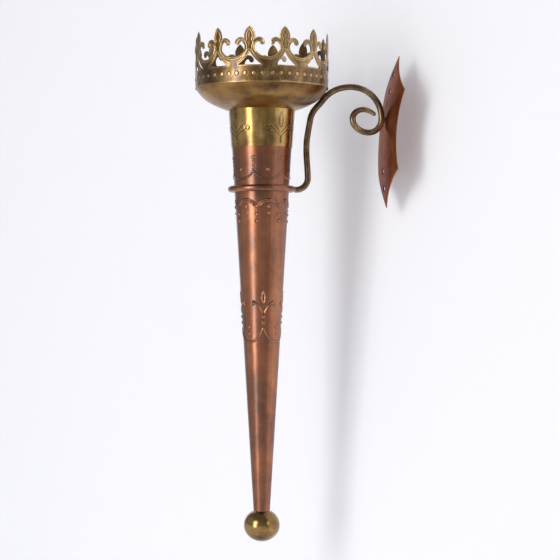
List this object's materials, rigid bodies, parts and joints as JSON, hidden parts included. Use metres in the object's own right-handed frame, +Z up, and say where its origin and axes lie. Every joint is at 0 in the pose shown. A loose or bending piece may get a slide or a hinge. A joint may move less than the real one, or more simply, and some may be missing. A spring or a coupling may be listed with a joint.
{
  "type": "wall torch sconce",
  "caption": "Wall torch sconce: tapered metal torch with a pierced crown, held by a ring on a scrolled arm and a dished wall plate.",
  "frame": {"origin": "on the wall, behind the middle of the wall plate", "axes": "+Y into the wall, +Z up, X across, the torch stands out toward -Y"},
  "size_m": [0.167, 0.2632, 0.637],
  "materials": {
    "copper_sheet": "embossed copper sheet, aged, semi-gloss",
    "brass_inner": "turned brass",
    "brass_ball": "polished brass, darkened with age",
    "brass_collar": "bright antique brass with chased flowers",
    "brass_bowl": "spun brass, satin",
    "brass_crown": "stamped and pierced brass, darkened in the hollows",
    "steel_hardware": "plain steel",
    "brass_pan": "spun brass, satin",
    "copper_rod": "copper-washed rod, aged",
    "copper_plate": "dished copper sheet, aged",
    "brass_rod": "brown patinated brass rod"
  },
  "bodies": {
    "bracket": {"wall_plate": "copper_plate", "arm_rivet": "brass_inner", "arm_spacer": "brass_inner", "scroll_arm": "brass_rod", "support_ring": "copper_rod"},
    "torch": {"torch_shaft": "copper_sheet", "shaft_plug": "brass_inner", "ball_finial": "brass_ball", "brass_collar": "brass_collar", "fire_bowl": "brass_bowl", "crown_gallery": "brass_crown", "tie_rod": "steel_hardware", "tie_washer": "steel_hardware", "tie_nut": "steel_hardware"},
    "pan": {"drip_pan": "brass_pan", "candle_cup": "brass_pan", "cup_rivet": "brass_inner"}
  },
  "joints": [
    {"name": "torch_lift", "type": "slide", "parent": "bracket", "child": "torch", "axis": [0, -0.0872, 0.9962], "range_m": [0, 0.45]},
    {"name": "pan_lift", "type": "slide", "parent": "torch", "child": "pan", "axis": [0, -0.0872, 0.9962], "range_m": [0, 0.1]}
  ]
}
